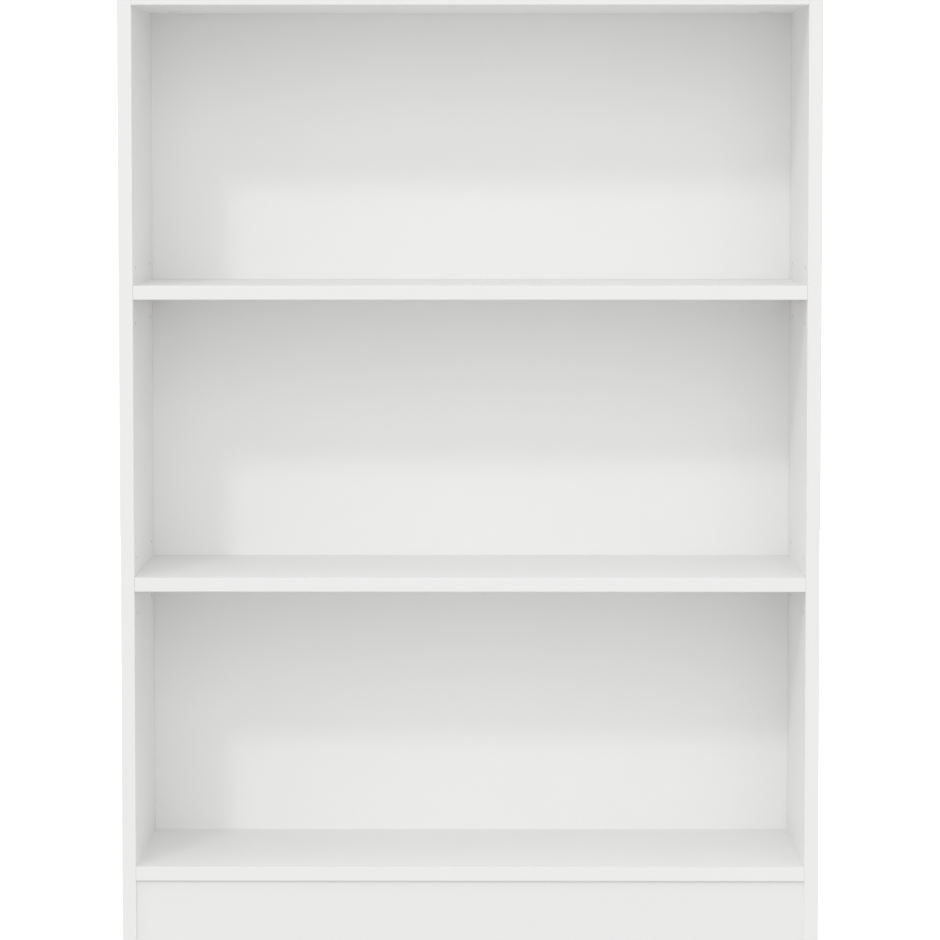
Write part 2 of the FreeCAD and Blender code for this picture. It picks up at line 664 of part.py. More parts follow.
def nail(label, head, head_height, shank, length):
    """A nail along +X, with the underside of its head at the origin."""
    body = start_body(label)
    half = level_sketch(body, "0", "half")
    radius = f"({shank} / 2 - Sizes.fit_play)"
    polygon(half, [
        (f"-{head_height}", "0"),
        (f"-{head_height}", f"{head} / 2 - {head_height} / 2"),
        (f"-{head_height} / 2", f"{head} / 2"),
        ("0", f"{head} / 2"),
        ("0", radius),
        (f"{length} - Sizes.nail_point", radius),
        (length, "0"),
    ])
    turn(body, half, "H_Axis")
    return body


def cam_joints():
    """Cam locks, bolts, caps and dowels of the top, the bottom panel and the plinth."""
    bolt = cam_bolt()
    lock = cam_lock()
    peg = dowel()
    for panel, low in (("top", TOP_LOW), ("bottom", BOTTOM_LOW)):
        middle = f"({low} + {MID_BOARD})"
        bolts = []
        locks = []
        dowels = []
        for sign, rotation in zip(SIDES.values(), (AS_DRAWN, HALF_TURN)):
            bolts += [(f"{sign}{INNER_HALF}", along, middle, rotation) for along in CAM_ROWS]
            locks += [(f"{sign}{CAM_ACROSS}", along, low, rotation) for along in CAM_ROWS]
            seat = f"{sign}({INNER_HALF} + {DOWEL_DEPTH})"
            dowels += [(seat, along, middle, rotation) for along in DOWEL_ROWS]
        group(f"{panel}_cam_bolts", bolt, bolts)
        group(f"{panel}_cam_locks", lock, locks)
        group(f"{panel}_dowels", peg, dowels)
        if panel == "top":
            group("top_cam_caps", cam_cap(), locks)
    bolts = []
    locks = []
    dowels = []
    for sign, rotation in zip(SIDES.values(), (AS_DRAWN, HALF_TURN)):
        bolts.append((f"{sign}{INNER_HALF}", PLINTH_MID, PLINTH_BOLT, rotation))
        locks.append((f"{sign}{CAM_ACROSS}", PLINTH_REAR, PLINTH_BOLT, Z_TO_FRONT * rotation))
        dowels.append((f"{sign}({INNER_HALF} + {DOWEL_DEPTH})", PLINTH_MID, PLINTH_DOWEL, rotation))
        foot = f"({BOTTOM_LOW} - {DOWEL_TAIL})"
        dowels.append((f"{sign}{PLINTH_DOWEL_ACROSS}", PLINTH_MID, foot, X_TO_UP))
    group("plinth_cam_bolts", bolt, bolts)
    group("plinth_cam_locks", lock, locks)
    group("plinth_dowels", peg, dowels)


def back_nails():
    tack = nail(
        "nail_master", "Sizes.nail_head", "Sizes.nail_head_height", "Sizes.nail_diameter",
        "Sizes.nail_length",
    )
    seats = [(across, BACK_REAR, NAIL_HEIGHT, X_TO_FRONT) for across in NAIL_PLACES]
    group("back_panel_nails", tack, seats)


def floor_glide(label, across, along):
    """A plastic foot, recessed from below for the nail that holds it."""
    body = start_body(label)
    half = front_sketch(body, "0", "half")
    bore = "(Sizes.glide_nail / 2)"
    recess = "(Sizes.glide_nail_head / 2 + Sizes.fit_play)"
    seat = "(Sizes.glide_sink + Sizes.glide_nail_head_height)"
    polygon(half, [
        (bore, seat),
        (recess, seat),
        (recess, "0"),
        ("Sizes.glide_diameter / 2 - Sizes.glide_chamfer", "0"),
        ("Sizes.glide_diameter / 2", "Sizes.glide_chamfer"),
        ("Sizes.glide_diameter / 2", "Sizes.glide_height"),
        (bore, "Sizes.glide_height"),
    ])
    turn(body, half, "V_Axis")
    place(body, across, along, "0", AS_DRAWN)
    keep(body)


def floor_glides():
    pin = nail(
        "glide_nail_master", "Sizes.glide_nail_head", "Sizes.glide_nail_head_height", "Sizes.glide_nail",
        "Sizes.glide_nail_length",
    )
    seats = []
    for row, along in GLIDE_ROWS.items():
        for side, sign in SIDES.items():
            floor_glide(f"floor_glide_{row}_{side}", f"{sign}{GLIDE_ACROSS}", along)
            seat = "Sizes.glide_sink + Sizes.glide_nail_head_height"
            seats.append((f"{sign}{GLIDE_ACROSS}", along, seat, X_TO_UP))
    group("glide_nails", pin, seats)


def wall_bracket(label, across):
    """An angle on the top panel whose upright leg lies in the plane of the rear edges."""
    body = start_body(label)
    profile = side_sketch(body, "0", "angle")
    reach = f"({SCREW_INSET} + Sizes.bracket_hole_edge)"
    polygon(profile, [
        (f"-{reach}", "0"),
        ("0", "0"),
        ("0", "Sizes.bracket_rise"),
        ("-Sizes.bracket_thickness", "Sizes.bracket_rise"),
        ("-Sizes.bracket_thickness", "Sizes.bracket_thickness"),
        (f"-{reach}", "Sizes.bracket_thickness"),
    ])
    pad(body, profile, "Sizes.bracket_width", symmetric=True)
    screw_hole = level_sketch(body, "Sizes.bracket_thickness", "screw_hole")
    circle(screw_hole, "0", f"-{SCREW_INSET}", "Sizes.bracket_hole")
    cut(body, screw_hole, "Sizes.bracket_thickness + Sizes.overrun")
    wall_hole = front_sketch(body, "0", "wall_hole")
    circle(wall_hole, "0", "Sizes.bracket_rise - Sizes.bracket_hole_edge", "Sizes.bracket_hole")
    drilled = cut(body, wall_hole, "Sizes.bracket_thickness + Sizes.overrun", forwards=True)

    def leg_corner(edge):
        short = abs(edge.Length - value("Sizes.bracket_thickness")) < TOUCH
        half = value("Sizes.bracket_width") / 2
        return short and all(abs(abs(corner.X) - half) < TOUCH for corner in edge.Vertexes)
    rounded = round_edges(body, drilled, "Sizes.bracket_corner", leg_corner)

    def inside_bend(edge):
        inner = value("Sizes.bracket_thickness")
        return all(abs(corner.Y + inner) + abs(corner.Z - inner) < TOUCH for corner in edge.Vertexes)

    def outside_bend(edge):
        return all(abs(corner.Y) + abs(corner.Z) < TOUCH for corner in edge.Vertexes)
    bent = round_edges(body, rounded, "Sizes.bracket_bend", inside_bend)
    round_edges(body, bent, "Sizes.bracket_bend + Sizes.bracket_thickness", outside_bend)
    place(body, across, REAR, TOP, AS_DRAWN)
    keep(body)


def bracket_screw():
    """A pan-head screw along +X with a cross slot."""
    body = start_body("screw_master")
    half = level_sketch(body, "0", "half")
    radius = "(Sizes.screw_diameter / 2 - Sizes.fit_play)"
    length = f"(Sizes.bracket_thickness + {SCREW_DEPTH})"
    polygon(half, [
        ("-Sizes.screw_head_height", "0"),
        ("-Sizes.screw_head_height", "Sizes.screw_head / 2"),
        ("0", "Sizes.screw_head / 2"),
        ("0", radius),
        (f"{length} - Sizes.screw_point", radius),
        (length, "0"),
    ])
    turned = turn(body, half, "H_Axis")

    def head_rim(edge):
        crown = -value("Sizes.screw_head_height")
        return abs(edge.BoundBox.XMin - crown) < TOUCH and abs(edge.BoundBox.XMax - crown) < TOUCH
    round_edges(body, turned, "Sizes.screw_head_round", head_rim)
    for name, half_along, half_up in (
        ("slot_along", "Sizes.screw_slot_length / 2", "Sizes.screw_slot_width / 2"),
        ("slot_up", "Sizes.screw_slot_width / 2", "Sizes.screw_slot_length / 2"),
    ):
        slot = side_sketch(body, "-Sizes.screw_head_height", name)
        rectangle(slot, f"-({half_along})", f"-({half_up})", half_along, half_up)
        cut(body, slot, "Sizes.screw_slot_depth", forwards=True)
    return body


def wall_brackets():
    seats = []
    for side, sign in SIDES.items():
        wall_bracket(f"wall_bracket_{side}", f"{sign}{BRACKET_ACROSS}")
        height = f"{TOP} + Sizes.bracket_thickness"
        seats.append((f"{sign}{BRACKET_ACROSS}", f"{REAR} - {SCREW_INSET}", height, X_TO_DOWN))
    group("bracket_screws", bracket_screw(), seats)


def check_document():
    """Stop on a failed object, a cut that removed nothing or a piece without a sound shape."""
    doc.recompute()
    for item in doc.Objects:
        if "Invalid" in item.State or "Error" in item.State:
            raise RuntimeError(f"{item.Label} failed: {item.State}")
        if item.TypeId in ("PartDesign::Pocket", "PartDesign::Groove", "PartDesign::Mirrored"):
            if item.Shape.Volume > item.BaseFeature.Shape.Volume - TOUCH:
                raise RuntimeError(f"{item.Label} cuts nothing")
    for piece in subparts:
        if piece.Shape.isNull() or not piece.Shape.isValid() or not piece.Shape.Solids:
            raise RuntimeError(f"{piece.Label} has no sound shape")


side_panel()
top_panel()
bottom_panel()
loose_shelf("upper_shelf", UPPER_SHELF_LOW)
loose_shelf("lower_shelf", LOWER_SHELF_LOW)
plinth_board()
back_panel()
side_bands()
board_band("top_panel_band", TOP_LOW, INNER_HALF, FRONT)
board_band("bottom_panel_band", BOTTOM_LOW, INNER_HALF, FRONT)
for shelf_name, shelf_low in (("upper_shelf", UPPER_SHELF_LOW), ("lower_shelf", LOWER_SHELF_LOW)):
    shelf_end = f"({INNER_HALF} - Sizes.shelf_end_gap)"
    board_band(f"{shelf_name}_band", shelf_low, shelf_end, f"({FRONT} + Sizes.shelf_setback)")
shelf_pins()
cam_joints()
back_nails()
floor_glides()
wall_brackets()
check_document()

os.makedirs("parts", exist_ok=True)
for subpart in subparts:
    subpart.Shape.exportStep(f"parts/{subpart.Label}.step")
print(f"{len(subparts)} sub-parts, {sum(len(subpart.Shape.Solids) for subpart in subparts)} solids")
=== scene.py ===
import math

import bmesh
import bpy
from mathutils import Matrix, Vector


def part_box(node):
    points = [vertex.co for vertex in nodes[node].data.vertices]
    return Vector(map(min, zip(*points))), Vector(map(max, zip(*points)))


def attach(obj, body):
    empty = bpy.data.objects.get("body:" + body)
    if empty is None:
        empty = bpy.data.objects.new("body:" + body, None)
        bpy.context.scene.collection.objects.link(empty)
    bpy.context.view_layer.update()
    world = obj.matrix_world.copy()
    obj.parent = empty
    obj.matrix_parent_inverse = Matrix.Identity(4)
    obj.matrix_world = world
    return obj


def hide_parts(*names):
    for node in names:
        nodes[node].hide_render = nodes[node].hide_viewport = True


# A white flat-pack bookcase of melamine-faced chipboard, dressed on its solids and lit as a studio cut-out.
# Metres, +Z up, the front faces -Y, and the origin is on the floor under the middle of the case.

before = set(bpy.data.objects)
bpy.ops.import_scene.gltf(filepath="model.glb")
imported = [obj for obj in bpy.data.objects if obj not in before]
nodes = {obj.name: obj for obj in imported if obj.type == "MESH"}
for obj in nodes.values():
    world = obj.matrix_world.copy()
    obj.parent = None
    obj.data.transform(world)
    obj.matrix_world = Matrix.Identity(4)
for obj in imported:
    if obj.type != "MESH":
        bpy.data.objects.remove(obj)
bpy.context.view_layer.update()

MM = 0.001


class Wire:
    """An output socket of a node tree. Arithmetic on it adds Math nodes."""

    def __init__(self, graph, socket):
        self.graph = graph
        self.socket = socket

    def math(self, operation, first, second=0.0):
        return self.graph.node("ShaderNodeMath", {"operation": operation}, [first, second])

    def __add__(self, other):
        return self.math("ADD", self, other)

    def __radd__(self, other):
        return self.math("ADD", other, self)

    def __sub__(self, other):
        return self.math("SUBTRACT", self, other)

    def __rsub__(self, other):
        return self.math("SUBTRACT", other, self)

    def __mul__(self, other):
        return self.math("MULTIPLY", self, other)

    def __rmul__(self, other):
        return self.math("MULTIPLY", other, self)

    def __lt__(self, other):
        return self.math("LESS_THAN", self, other)

    def __abs__(self):
        return self.math("ABSOLUTE", self)

    def sine(self):
        return self.math("SINE", self)

    def least(self, other):
        """The smaller of two values."""
        return self.math("MINIMUM", self, other)

    def output(self, name):
        """Another output of the same node."""
        return Wire(self.graph, self.socket.node.outputs[name])


class Graph:
    """A node tree that is written as expressions."""

    def __init__(self, tree):
        self.tree = tree

    def node(self, kind, settings=None, inputs=None, output=0):
        """A new node: its settings, then its inputs by name or in order. Gives one output as a wire."""
        made = self.tree.nodes.new(kind)
        for name, setting in (settings or {}).items():
            if name == "stops":
                self.set_stops(made.color_ramp, setting)
            elif name == "item_count":
                while len(made.index_switch_items) < setting:
                    made.index_switch_items.new()
            else:
                setattr(made, name, setting)
        if isinstance(inputs, list):
            inputs = dict(enumerate(inputs))
        for key, value in (inputs or {}).items():
            socket = made.inputs[key]
            if isinstance(value, Wire):
                self.tree.links.new(value.socket, socket)
            else:
                socket.default_value = (*value, 1.0) if socket.type == "RGBA" else value
        return Wire(self, made.outputs[output]) if made.outputs else None

    def set_stops(self, ramp, stops):
        while len(ramp.elements) < len(stops):
            ramp.elements.new(1.0)
        for element, (position, colour) in zip(ramp.elements, stops):
            element.position = position
            element.color = (*colour, 1.0)

    def fade(self, value, start, end, first=0.0, last=1.0):
        """The first level up to a start, the last level from an end on, and an even slope between them."""
        return self.node("ShaderNodeMapRange", inputs=[value, start, end, first, last])


# Places of the colour sockets of a Mix node, which has sockets of the same names for numbers and vectors
MIX_SHARE, MIX_FIRST, MIX_SECOND, MIX_RESULT = 0, 6, 7, 2


class Finish(Graph):
    """A material of one or two coats, each a Principled shader, with patterns on Object coordinates."""

    def __init__(self, name):
        self.material = bpy.data.materials.new(name)
        self.material.use_nodes = True
        super().__init__(self.material.node_tree)
        self.tree.nodes.remove(self.tree.nodes["Principled BSDF"])
        self.place = self.node("ShaderNodeTexCoord", output="Object")
        self.x = self.node("ShaderNodeSeparateXYZ", inputs=[self.place], output="X")
        self.y = self.x.output("Y")
        self.z = self.x.output("Z")

    def grid(self, pitch):
        """Object coordinates in steps of a pitch along X, Y and Z."""
        return self.node("ShaderNodeVectorMath", {"operation": "DIVIDE"}, [self.place, pitch])

    def noise(self, pitch, detail=2.0, roughness=0.5):
        inputs = {"Vector": self.grid(pitch), "Scale": 1.0, "Detail": detail, "Roughness": roughness}
        return self.node("ShaderNodeTexNoise", inputs=inputs)

    def cells(self, pitch):
        return self.node("ShaderNodeTexVoronoi", inputs={"Vector": self.grid(pitch), "Scale": 1.0})

    def tone(self, cells):
        """A number of its own for each cell."""
        return self.node("ShaderNodeSeparateColor", inputs=[cells.output("Color")])

    def ramp(self, value, stops):
        return self.node("ShaderNodeValToRGB", {"stops": stops}, [value])

    def mix(self, share, first, second):
        """A colour between two colours."""
        inputs = {MIX_SHARE: share, MIX_FIRST: first, MIX_SECOND: second}
        return self.node("ShaderNodeMix", {"data_type": "RGBA"}, inputs, output=MIX_RESULT)

    def relief(self, height, depth):
        """A bump whose height of 0 to 1 stands for a depth in metres."""
        return self.node("ShaderNodeBump", inputs={"Height": height, "Distance": depth, "Strength": 1.0})

    def coat(self, **sockets):
        """A Principled shader, its sockets named with underscores."""
        inputs = {name.replace("_", " "): value for name, value in sockets.items()}
        return self.node("ShaderNodeBsdfPrincipled", inputs=inputs)

    def show(self, coat):
        self.tree.links.new(coat.socket, self.tree.nodes["Material Output"].inputs["Surface"])
        return self.material

    def part(self, mask, first, second):
        """The first coat where the mask is 0, the second where it is 1."""
        return self.show(self.node("ShaderNodeMixShader", inputs=[mask, first, second]))


def rough(levels, *patterns):
    """A plain roughness, and what each pattern adds to it."""
    total, *added = levels
    for level, pattern in zip(added, patterns):
        total = total + level * pattern
    return total


def even(pitch):
    """The same pitch along X, Y and Z."""
    return [pitch] * 3


def stretched(axis, along, across):
    """One pitch along an axis and another across it."""
    return [along if name == axis else across for name in "xyz"]


# Boards: colours are linear, and roughness is plain, then what each pattern adds
PAPER_WHITE = (0.925, 0.925, 0.920)
PAPER_SHADE = (0.913, 0.913, 0.907)
PAPER_THICKNESS = 0.15 * MM
PAPER_CLOUD = (160 * MM, 112 * MM, 256 * MM)
PAPER_GRAIN = 1.1 * MM
PAPER_GRAIN_DEPTH = 0.012 * MM
PAPER_ROUGHNESS = (0.36, 0.12, 0.08)
# The plinth's paper is painted a shade darker than the other boards' paper. This is painted shade for where
# it stands set back under the bottom panel, close to the floor.
PLINTH_WHITE_IN_PAINTED_SHADE = (0.832, 0.832, 0.827)
PLINTH_SHADE_IN_PAINTED_SHADE = (0.820, 0.820, 0.814)
CHIP_STOPS = (
    (0.0, (0.20, 0.115, 0.055)),
    (0.25, (0.36, 0.235, 0.125)),
    (0.55, (0.53, 0.385, 0.230)),
    (0.8, (0.62, 0.480, 0.310)),
    (1.0, (0.70, 0.580, 0.410)),
)
CORE_CHIP = (1.4 * MM, 5.5 * MM)       # thickness across the board, and length in its plane
SKIN_CHIP = (0.6 * MM, 1.6 * MM)
SKIN_END = 1.56 * MM                   # depth where the fine chips begin to give way to the core
CORE_START = 3.64 * MM
SKIN_TONE, SKIN_TONE_RANGE = 0.25, 0.5
CHIP_FIBRE = 0.4 * MM
CHIP_RELIEF = 0.25 * MM
CHIP_SHARE, FIBRE_SHARE, GAP_SHARE = 0.75, 0.35, 0.22
SAWN_ROUGHNESS = (0.80, 0.15)


def melamine_board(name, across, low, high, white=PAPER_WHITE, shade=PAPER_SHADE):
    """Chipboard with white paper pressed on its two faces, at a low and a high level of one axis."""
    finish = Finish(name)
    level = abs(finish.x) if across == "x" else getattr(finish, across)
    depth = abs(level - low).least(abs(level - high))
    paper = depth < PAPER_THICKNESS
    core = finish.cells(stretched(across, *CORE_CHIP))
    skin = finish.cells(stretched(across, *SKIN_CHIP))
    coarse = finish.fade(depth, SKIN_END, CORE_START)
    fine_tone = SKIN_TONE + SKIN_TONE_RANGE * finish.tone(skin)
    tone = finish.tone(core) * coarse + fine_tone * (1 - coarse)
    gap = core * coarse + skin * (1 - coarse)
    fibres = finish.noise(even(CHIP_FIBRE), detail=3.0)
    sawn = finish.coat(
        Base_Color=finish.ramp(tone * CHIP_SHARE + fibres * FIBRE_SHARE - gap * GAP_SHARE, CHIP_STOPS),
        Roughness=rough(SAWN_ROUGHNESS, fibres),
        Normal=finish.relief(0 - gap, CHIP_RELIEF),
        Specular_IOR_Level=0.25,
    )
    cloud = finish.noise(PAPER_CLOUD)
    grain = finish.noise(even(PAPER_GRAIN), detail=1.0)
    faced = finish.coat(
        Base_Color=finish.mix(cloud, white, shade),
        Roughness=rough(PAPER_ROUGHNESS, cloud, grain),
        Normal=finish.relief(grain, PAPER_GRAIN_DEPTH),
        Specular_IOR_Level=0.42,
    )
    return finish.part(paper, sawn, faced)


# Edge bands
BAND_WHITE = (0.846, 0.846, 0.841)
BAND_SHADE = (0.834, 0.834, 0.828)
BAND_CLOUD = 80 * MM
BAND_GRAIN = 0.88 * MM
BAND_LINE = (60 * MM, 0.35 * MM)       # length and pitch of the lines that drawing leaves
BAND_LINE_SHARE, BAND_GRAIN_SHARE = 0.6, 0.4
BAND_RELIEF = 0.01 * MM
BAND_ROUGHNESS = (0.36, 0.10, 0.06)
GLUE = (0.50, 0.46, 0.40)
GLUE_LINE = 0.06 * MM


def edge_band(name, length_axis, joint_axis, joint, white=BAND_WHITE, shade=BAND_SHADE):
    """White plastic banding drawn along one axis, glued to its board at a joint plane."""
    finish = Finish(name)
    glue = abs(getattr(finish, joint_axis) - joint) < GLUE_LINE
    lines = finish.noise(stretched(length_axis, *BAND_LINE), detail=1.0)
    cloud = finish.noise(even(BAND_CLOUD))
    grain = finish.noise(even(BAND_GRAIN), detail=1.0)
    plain = finish.mix(cloud, white, shade)
    return finish.show(finish.coat(
        Base_Color=finish.mix(glue, plain, GLUE),
        Roughness=rough(BAND_ROUGHNESS, lines, cloud),
        Normal=finish.relief(lines * BAND_LINE_SHARE + grain * BAND_GRAIN_SHARE, BAND_RELIEF),
        Specular_IOR_Level=0.45,
    ))


# Hardboard back
FIBRE_STOPS = (
    (0.0, (0.16, 0.095, 0.050)),
    (0.5, (0.26, 0.165, 0.095)),
    (1.0, (0.36, 0.240, 0.150)),
)
FIBRE = (7 * MM, 0.5 * MM)             # length and width
STAIN = 160 * MM
LYING_SHARE, STANDING_SHARE, STAIN_SHARE, FIBRE_DARKENING = 0.4, 0.4, 0.5, 0.15
SCREEN_PITCH = 1.6 * MM
SCREEN_RELIEF = 0.12 * MM
SCREEN_PRINT_SHARE, SCREEN_FIBRE_SHARE = 0.7, 0.3
PRESSED_ROUGHNESS = (0.68, 0.18)
LACQUER_WHITE = (0.925, 0.925, 0.920)
LACQUER_SHADE = (0.913, 0.913, 0.907)
LACQUER_THICKNESS = 0.15 * MM
LACQUER_CLOUD = 160 * MM
LACQUER_GRAIN = 0.77 * MM
LACQUER_GRAIN_DEPTH = 0.012 * MM
LACQUER_ROUGHNESS = (0.42, 0.10, 0.06)


def hardboard(name, front):
    """Pressed fibre, white lacquer on the face at the front and the print of a wire screen behind."""
    finish = Finish(name)
    lacquer = finish.y < front + LACQUER_THICKNESS
    lying = finish.noise(stretched("x", *FIBRE), detail=4.0, roughness=0.65)
    standing = finish.noise(stretched("z", *FIBRE), detail=4.0, roughness=0.65)
    stain = finish.noise(even(STAIN), detail=5.0, roughness=0.6)
    fibre = lying * LYING_SHARE + standing * STANDING_SHARE + stain * STAIN_SHARE - FIBRE_DARKENING
    turn_per_metre = 2 * math.pi / SCREEN_PITCH
    weave = (finish.x * turn_per_metre).sine() * (finish.z * turn_per_metre).sine()
    screen = weave * 0.5 + 0.5
    pressed = finish.coat(
        Base_Color=finish.ramp(fibre, FIBRE_STOPS),
        Roughness=rough(PRESSED_ROUGHNESS, lying),
        Normal=finish.relief(screen * SCREEN_PRINT_SHARE + lying * SCREEN_FIBRE_SHARE, SCREEN_RELIEF),
        Specular_IOR_Level=0.35,
    )
    cloud = finish.noise(even(LACQUER_CLOUD))
    grain = finish.noise(even(LACQUER_GRAIN), detail=1.0)
    lacquered = finish.coat(
        Base_Color=finish.mix(cloud, LACQUER_WHITE, LACQUER_SHADE),
        Roughness=rough(LACQUER_ROUGHNESS, cloud, grain),
        Normal=finish.relief(grain, LACQUER_GRAIN_DEPTH),
        Specular_IOR_Level=0.4,
    )
    return finish.part(lacquer, pressed, lacquered)


# Plated steel
PLATING = {
    # bright colour, dull colour, roughness, pitch of the streaks along X, Y and Z, and their depth
    "nickel_plate": (
        (0.66, 0.61, 0.55), (0.52, 0.48, 0.43), 0.20, (0.12 * MM, 4 * MM, 4 * MM), 0.01 * MM
    ),
    "zinc_plate": (
        (0.62, 0.63, 0.65), (0.45, 0.46, 0.47), 0.30, (0.25 * MM, 12 * MM, 12 * MM), 0.015 * MM
    ),
    "bolt_steel": (
        (0.56, 0.55, 0.53), (0.40, 0.38, 0.35), 0.32, (0.3 * MM, 3 * MM, 3 * MM), 0.02 * MM
    ),
    "nail_steel": (
        (0.52, 0.51, 0.50), (0.34, 0.32, 0.30), 0.34, (0.4 * MM, 0.4 * MM, 0.4 * MM), 0.02 * MM
    ),
}
BLOOM = 9 * MM
BLOOM_EDGE = (0.42, 0.68)
BLOOM_ROUGHNESS, STREAK_ROUGHNESS = 0.14, 0.10


def plated_metal(name):
    """Bright plated steel with streaks and a dull bloom in patches."""
    colour, dull, roughness, streak, depth = PLATING[name]
    finish = Finish(name)
    streaks = finish.noise(streak, detail=3.0, roughness=0.6)
    bloom = finish.noise(even(BLOOM), detail=4.0, roughness=0.65)
    patches = finish.fade(bloom, *BLOOM_EDGE)
    return finish.show(finish.coat(
        Base_Color=finish.mix(patches, colour, dull),
        Roughness=rough((roughness, BLOOM_ROUGHNESS, STREAK_ROUGHNESS), patches, streaks),
        Normal=finish.relief(streaks, depth),
        Metallic=1.0,
    ))


# Die-cast zinc
ZINC_DARK = (0.47, 0.475, 0.49)
ZINC_PALE = (0.62, 0.625, 0.635)
ZINC_PEBBLE = 0.5 * MM
ZINC_PEBBLE_DEPTH = 0.03 * MM
ZINC_FLOW = (3 * MM, 3 * MM, 8 * MM)
ZINC_ROUGHNESS = (0.42, 0.18)


def cast_zinc(name):
    """Die-cast zinc: grey, with a fine pebbled skin and darker flow marks."""
    finish = Finish(name)
    pebbles = finish.cells(even(ZINC_PEBBLE))
    flow = finish.noise(ZINC_FLOW, detail=4.0, roughness=0.6)
    return finish.show(finish.coat(
        Base_Color=finish.mix(flow, ZINC_DARK, ZINC_PALE),
        Roughness=rough(ZINC_ROUGHNESS, flow),
        Normal=finish.relief(pebbles, ZINC_PEBBLE_DEPTH),
        Metallic=1.0,
    ))


# Beech, with its grain along X as nearly all the dowels lie
BEECH_PALE = (0.70, 0.50, 0.31)
BEECH_DARK = (0.58, 0.37, 0.21)
BEECH_FLECK = (0.42, 0.25, 0.13)
RAY = (6 * MM, 0.35 * MM)              # length and width
RAY_DEPTH = 0.05 * MM
FLECK = (2.2 * MM, 0.3 * MM)
FLECK_EDGE = (0.60, 0.72)
BEECH_ROUGHNESS = (0.62, 0.12)


def beech(name):
    """Pale beech with fine rays and dark flecks along its grain."""
    finish = Finish(name)
    rays = finish.noise(stretched("x", *RAY), detail=4.0, roughness=0.6)
    flecks = finish.fade(finish.noise(stretched("x", *FLECK)), *FLECK_EDGE)
    wood = finish.mix(rays, BEECH_PALE, BEECH_DARK)
    return finish.show(finish.coat(
        Base_Color=finish.mix(flecks, wood, BEECH_FLECK),
        Roughness=rough(BEECH_ROUGHNESS, rays),
        Normal=finish.relief(rays, RAY_DEPTH),
    ))


# Moulded plastic
GLIDE_GREY = (0.74, 0.73, 0.69)
GLIDE_SHADE = (0.68, 0.67, 0.63)
CAP_WHITE = (0.91, 0.91, 0.905)
CAP_SHADE = (0.89, 0.89, 0.88)
SPARK = 0.45 * MM
SPARK_DEPTH = 0.02 * MM
PLASTIC_CLOUD = 12 * MM
PLASTIC_ROUGHNESS = (0.40, 0.12, 0.25)
WORN_BELOW = 0.3 * MM
SCRATCH = (0.3 * MM, 5 * MM)           # width along X, and length
SCRATCH_EDGE = (0.45, 0.62)
SOIL = (0.30, 0.28, 0.25)


def moulded_plastic(name, colour, shade):
    """Moulded plastic with a spark-eroded texture, rubbed and soiled where it meets the floor."""
    finish = Finish(name)
    spark = finish.noise(even(SPARK), detail=3.0)
    cloud = finish.noise(even(PLASTIC_CLOUD), detail=3.0)
    scratches = finish.noise(stretched("x", *SCRATCH))
    rubbed = (finish.z < WORN_BELOW) * finish.fade(scratches, *SCRATCH_EDGE)
    body = finish.mix(cloud, colour, shade)
    return finish.show(finish.coat(
        Base_Color=finish.mix(rubbed, body, SOIL),
        Roughness=rough(PLASTIC_ROUGHNESS, spark, rubbed),
        Normal=finish.relief(spark, SPARK_DEPTH),
        Specular_IOR_Level=0.5,
    ))


SIDES = ("left", "right")
ROWS = ("front", "rear")
SHELVES = ("upper_shelf", "lower_shelf")
CAM_JOINTS = ("top", "bottom", "plinth")


def wear(finish, *names):
    """Give CAD nodes a finish."""
    for name in names:
        materials = nodes[name].data.materials
        materials.clear()
        materials.append(finish)


def dress_boards():
    low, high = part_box("side_panel_right")
    wear(melamine_board("side_board", "x", low.x, high.x), *(f"side_panel_{side}" for side in SIDES))
    for board in ("top_panel", "bottom_panel", *SHELVES):
        low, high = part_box(board)
        wear(melamine_board(f"{board}_board", "z", low.z, high.z), board)
    low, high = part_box("plinth_board")
    # The plinth's facing is painted darker than the other boards, as painted shade under the bottom panel's
    # overhang.
    facing = melamine_board("plinth_facing", "y", low.y, high.y, PLINTH_WHITE_IN_PAINTED_SHADE, PLINTH_SHADE_IN_PAINTED_SHADE)
    wear(facing, "plinth_board")
    wear(hardboard("hardboard_back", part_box("back_panel")[0].y), "back_panel")


def dress_bands():
    side_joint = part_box("side_left_front_band")[1].y
    upright = edge_band("upright_band", "z", "y", side_joint)
    wear(upright, *(f"side_{side}_front_band" for side in SIDES))
    top_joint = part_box("side_left_top_band")[0].z
    crown = edge_band("side_top_band", "y", "z", top_joint, PAPER_WHITE, PAPER_SHADE)
    wear(crown, *(f"side_{side}_top_band" for side in SIDES))
    wear(edge_band("panel_band", "x", "y", side_joint), "top_panel_band", "bottom_panel_band")
    shelf_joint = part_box("upper_shelf_band")[1].y
    wear(edge_band("shelf_band", "x", "y", shelf_joint), *(f"{shelf}_band" for shelf in SHELVES))


def dress_fittings():
    pins = [f"{shelf}_pin_{row}_{side}" for shelf in SHELVES for row in ROWS for side in SIDES]
    wear(plated_metal("nickel_plate"), *pins)
    wear(plated_metal("bolt_steel"), *(f"{joint}_cam_bolts" for joint in CAM_JOINTS))
    wear(cast_zinc("cam_zinc"), *(f"{joint}_cam_locks" for joint in CAM_JOINTS))
    wear(beech("beech_dowel"), *(f"{joint}_dowels" for joint in CAM_JOINTS))
    glide = moulded_plastic("glide_plastic", GLIDE_GREY, GLIDE_SHADE)
    wear(glide, *(f"floor_glide_{row}_{side}" for row in ROWS for side in SIDES))
    steel = plated_metal("nail_steel")
    wear(steel, "glide_nails", "back_panel_nails")
    back_nails(steel)
    cap = moulded_plastic("white_plastic", CAP_WHITE, CAP_SHADE)
    wear(cap, "top_cam_caps")
    cam_caps(cap)
    zinc = plated_metal("zinc_plate")
    wear(zinc, "bracket_screws", *(f"wall_bracket_{side}" for side in SIDES))
    bracket_screws(zinc)


